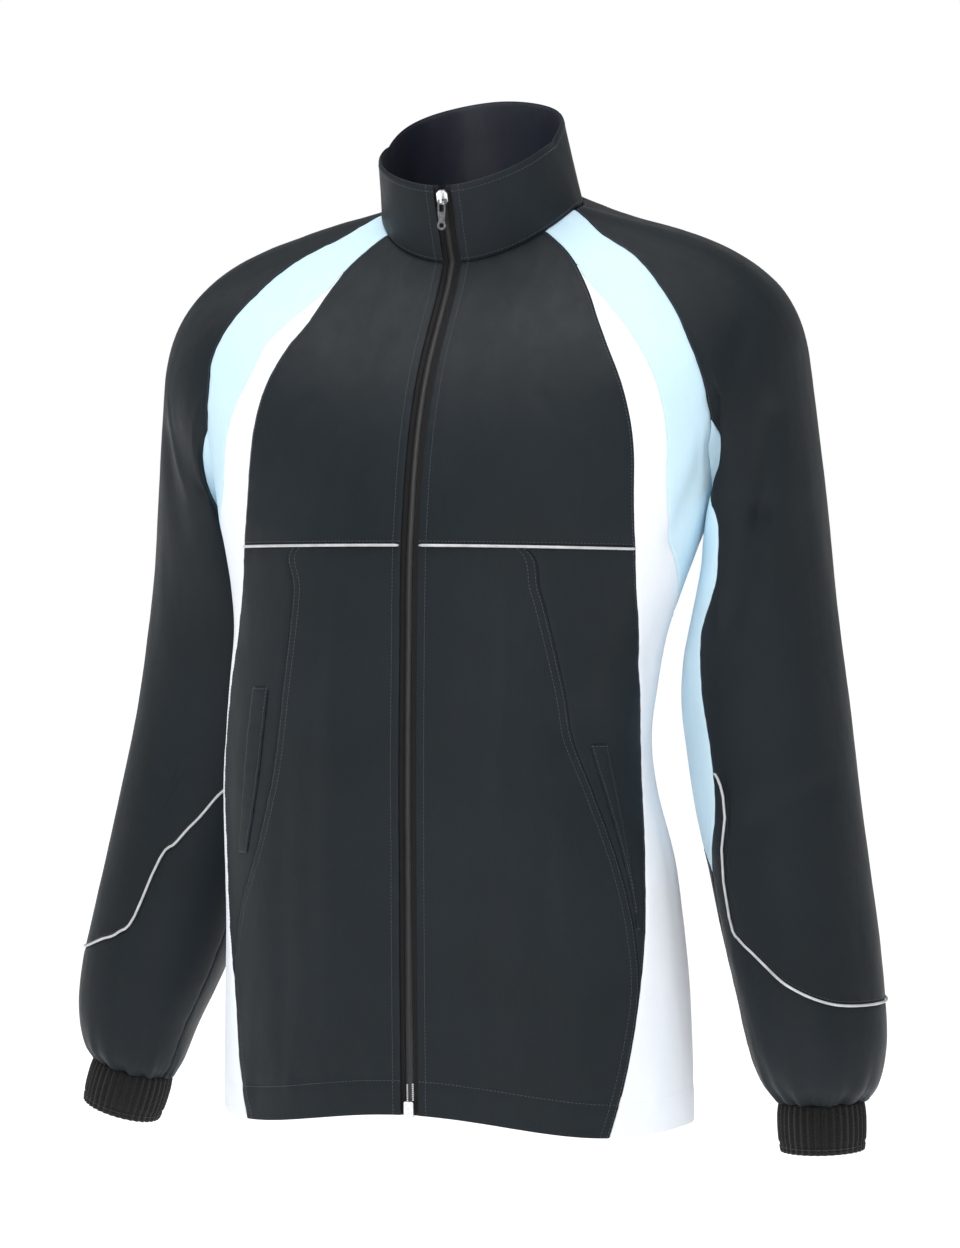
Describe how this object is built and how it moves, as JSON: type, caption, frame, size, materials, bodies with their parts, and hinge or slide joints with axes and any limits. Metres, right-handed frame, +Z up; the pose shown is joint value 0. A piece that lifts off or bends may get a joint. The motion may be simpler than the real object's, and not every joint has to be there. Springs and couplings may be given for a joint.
{
  "type": "cycling windbreaker",
  "caption": "Light long-sleeved windbreaker, filled out as worn: stand collar, full front zip, raglan stripes, contrast side panels, piped seams and ribbed cuffs.",
  "frame": {"origin": "centre of the neck's base, where the wearer holds the jacket up", "axes": "+Z up to the collar, -Y the zipped front, +X the wearer's left"},
  "size_m": [0.6724, 0.2696, 0.8177],
  "materials": {
    "slate_cloth": "woven nylon, dark slate, soft sheen",
    "white_cloth": "woven nylon, white",
    "light_blue_cloth": "woven nylon, light blue",
    "navy_lining": "smooth navy lining with a bluish sheen",
    "black_rib": "ribbed elastic knit, black",
    "reflective_piping": "grey retroreflective piping",
    "zip_tape": "black woven zip tape",
    "zip_coil": "black moulded coil",
    "silver_metal": "silver, satin",
    "gunmetal": "gunmetal, satin"
  },
  "bodies": {
    "garment": {"back": "slate_cloth", "chest_piping_left": "reflective_piping", "chest_piping_right": "reflective_piping", "collar": "slate_cloth", "collar_facing": "navy_lining", "cuff_left": "black_rib", "cuff_right": "black_rib", "front_lower_left": "slate_cloth", "front_lower_right": "slate_cloth", "front_side_left": "slate_cloth", "front_side_right": "slate_cloth", "front_upper_left": "slate_cloth", "front_upper_right": "slate_cloth", "pocket_welt_left": "slate_cloth", "pocket_welt_right": "slate_cloth", "raglan_stripe_left": "light_blue_cloth", "raglan_stripe_right": "light_blue_cloth", "side_panel_left": "white_cloth", "side_panel_right": "white_cloth", "sleeve_lower_left": "slate_cloth", "sleeve_lower_right": "slate_cloth", "sleeve_piping_left": "reflective_piping", "sleeve_piping_right": "reflective_piping", "sleeve_stripe_left": "light_blue_cloth", "sleeve_stripe_right": "light_blue_cloth", "sleeve_upper_left": "slate_cloth", "sleeve_upper_right": "slate_cloth", "zip_box": "silver_metal", "zip_coil": "zip_coil", "zip_slider": "silver_metal", "zip_tape_left": "zip_tape", "zip_tape_right": "zip_tape"},
    "zip_pull": {"zip_pull_tab": "gunmetal"}
  },
  "joints": [
    {"name": "pull_tab_hinge", "type": "hinge", "parent": "garment", "child": "zip_pull", "pos_m": [0, -0.08838, 0.00115], "axis": [-1, 0, 0], "range_deg": [0, 150]}
  ]
}
